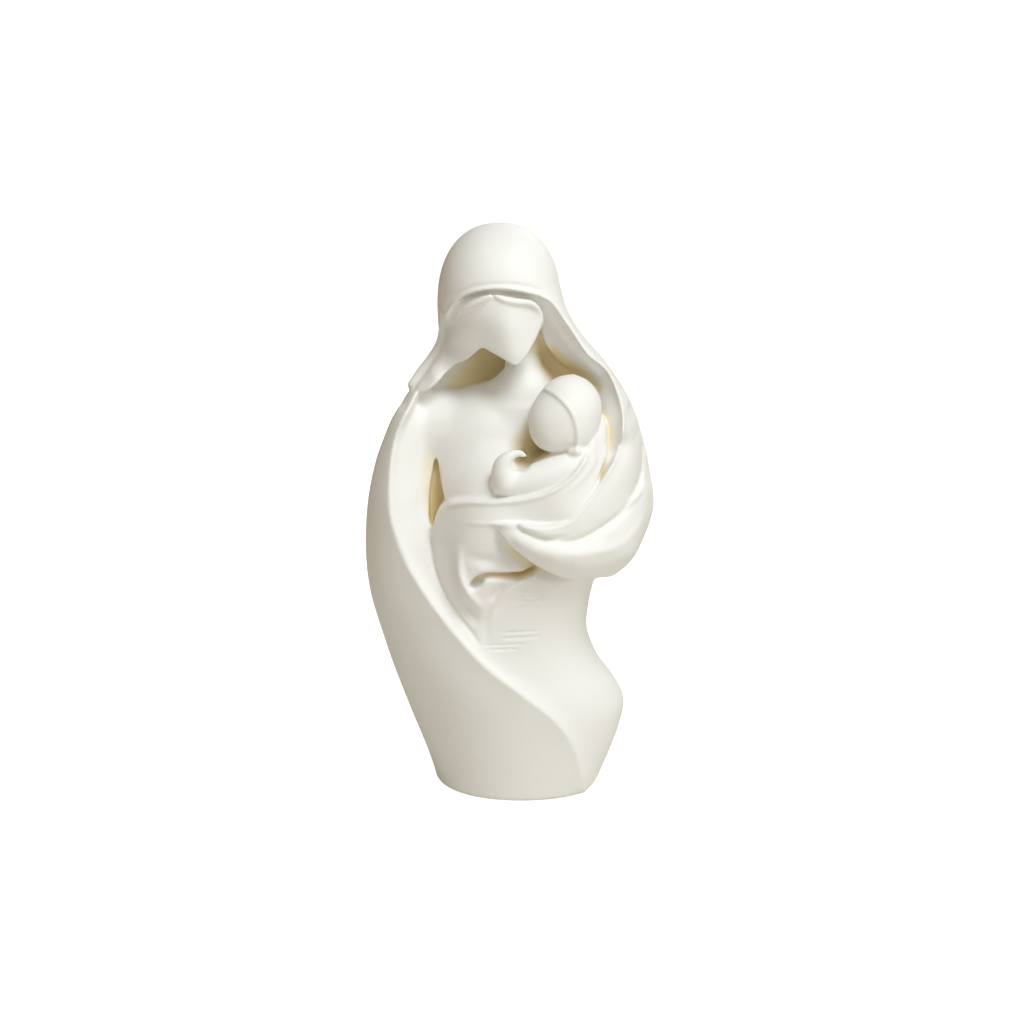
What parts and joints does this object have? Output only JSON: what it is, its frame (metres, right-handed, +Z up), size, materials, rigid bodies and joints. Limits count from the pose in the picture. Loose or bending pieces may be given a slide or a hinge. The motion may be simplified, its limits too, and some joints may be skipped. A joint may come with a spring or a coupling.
{
  "type": "mother and child sculpture",
  "caption": "Small cast figure of a faceless veiled mother holding her wrapped baby, in flowing drapery on a flat oval foot.",
  "frame": {"origin": "on the underside, below the figure's middle, where it stands", "axes": "+Z up, -Y towards the viewer whom the figure faces, +X to that viewer's right"},
  "size_m": [0.1221, 0.0953, 0.24],
  "materials": {
    "cream_cast": "smooth matt cream white, as cast resin or unglazed porcelain"
  },
  "bodies": {
    "root": {"mother_and_child": "cream_cast"}
  },
  "joints": []
}
